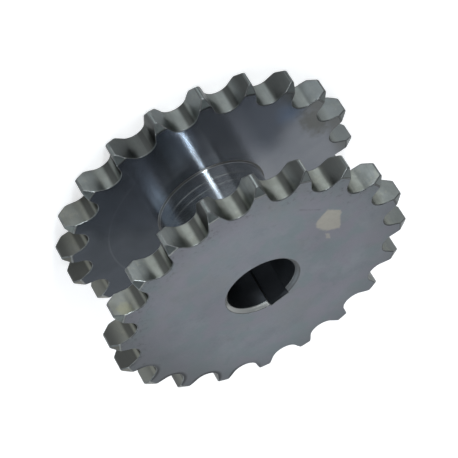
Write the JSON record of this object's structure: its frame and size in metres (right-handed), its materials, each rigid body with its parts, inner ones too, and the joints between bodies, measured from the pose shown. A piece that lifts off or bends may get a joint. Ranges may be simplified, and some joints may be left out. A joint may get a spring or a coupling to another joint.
{
  "type": "double chain sprocket",
  "caption": "One-piece steel double sprocket: two matching toothed plates in line on a short hub with a keyed through bore, driving two separate roller chains from one shaft",
  "frame": {"origin": "Centre of the bore at the rear plate's outer face, which the part stands on", "axes": "+Z is the bore axis, from the rear plate to the front plate; +X points through the keyway and the tooth gap above it"},
  "size_m": [0.173, 0.173, 0.0762],
  "materials": {
    "steel": "turned and hobbed, dull"
  },
  "bodies": {
    "root": {"double_sprocket": "steel"}
  },
  "joints": []
}
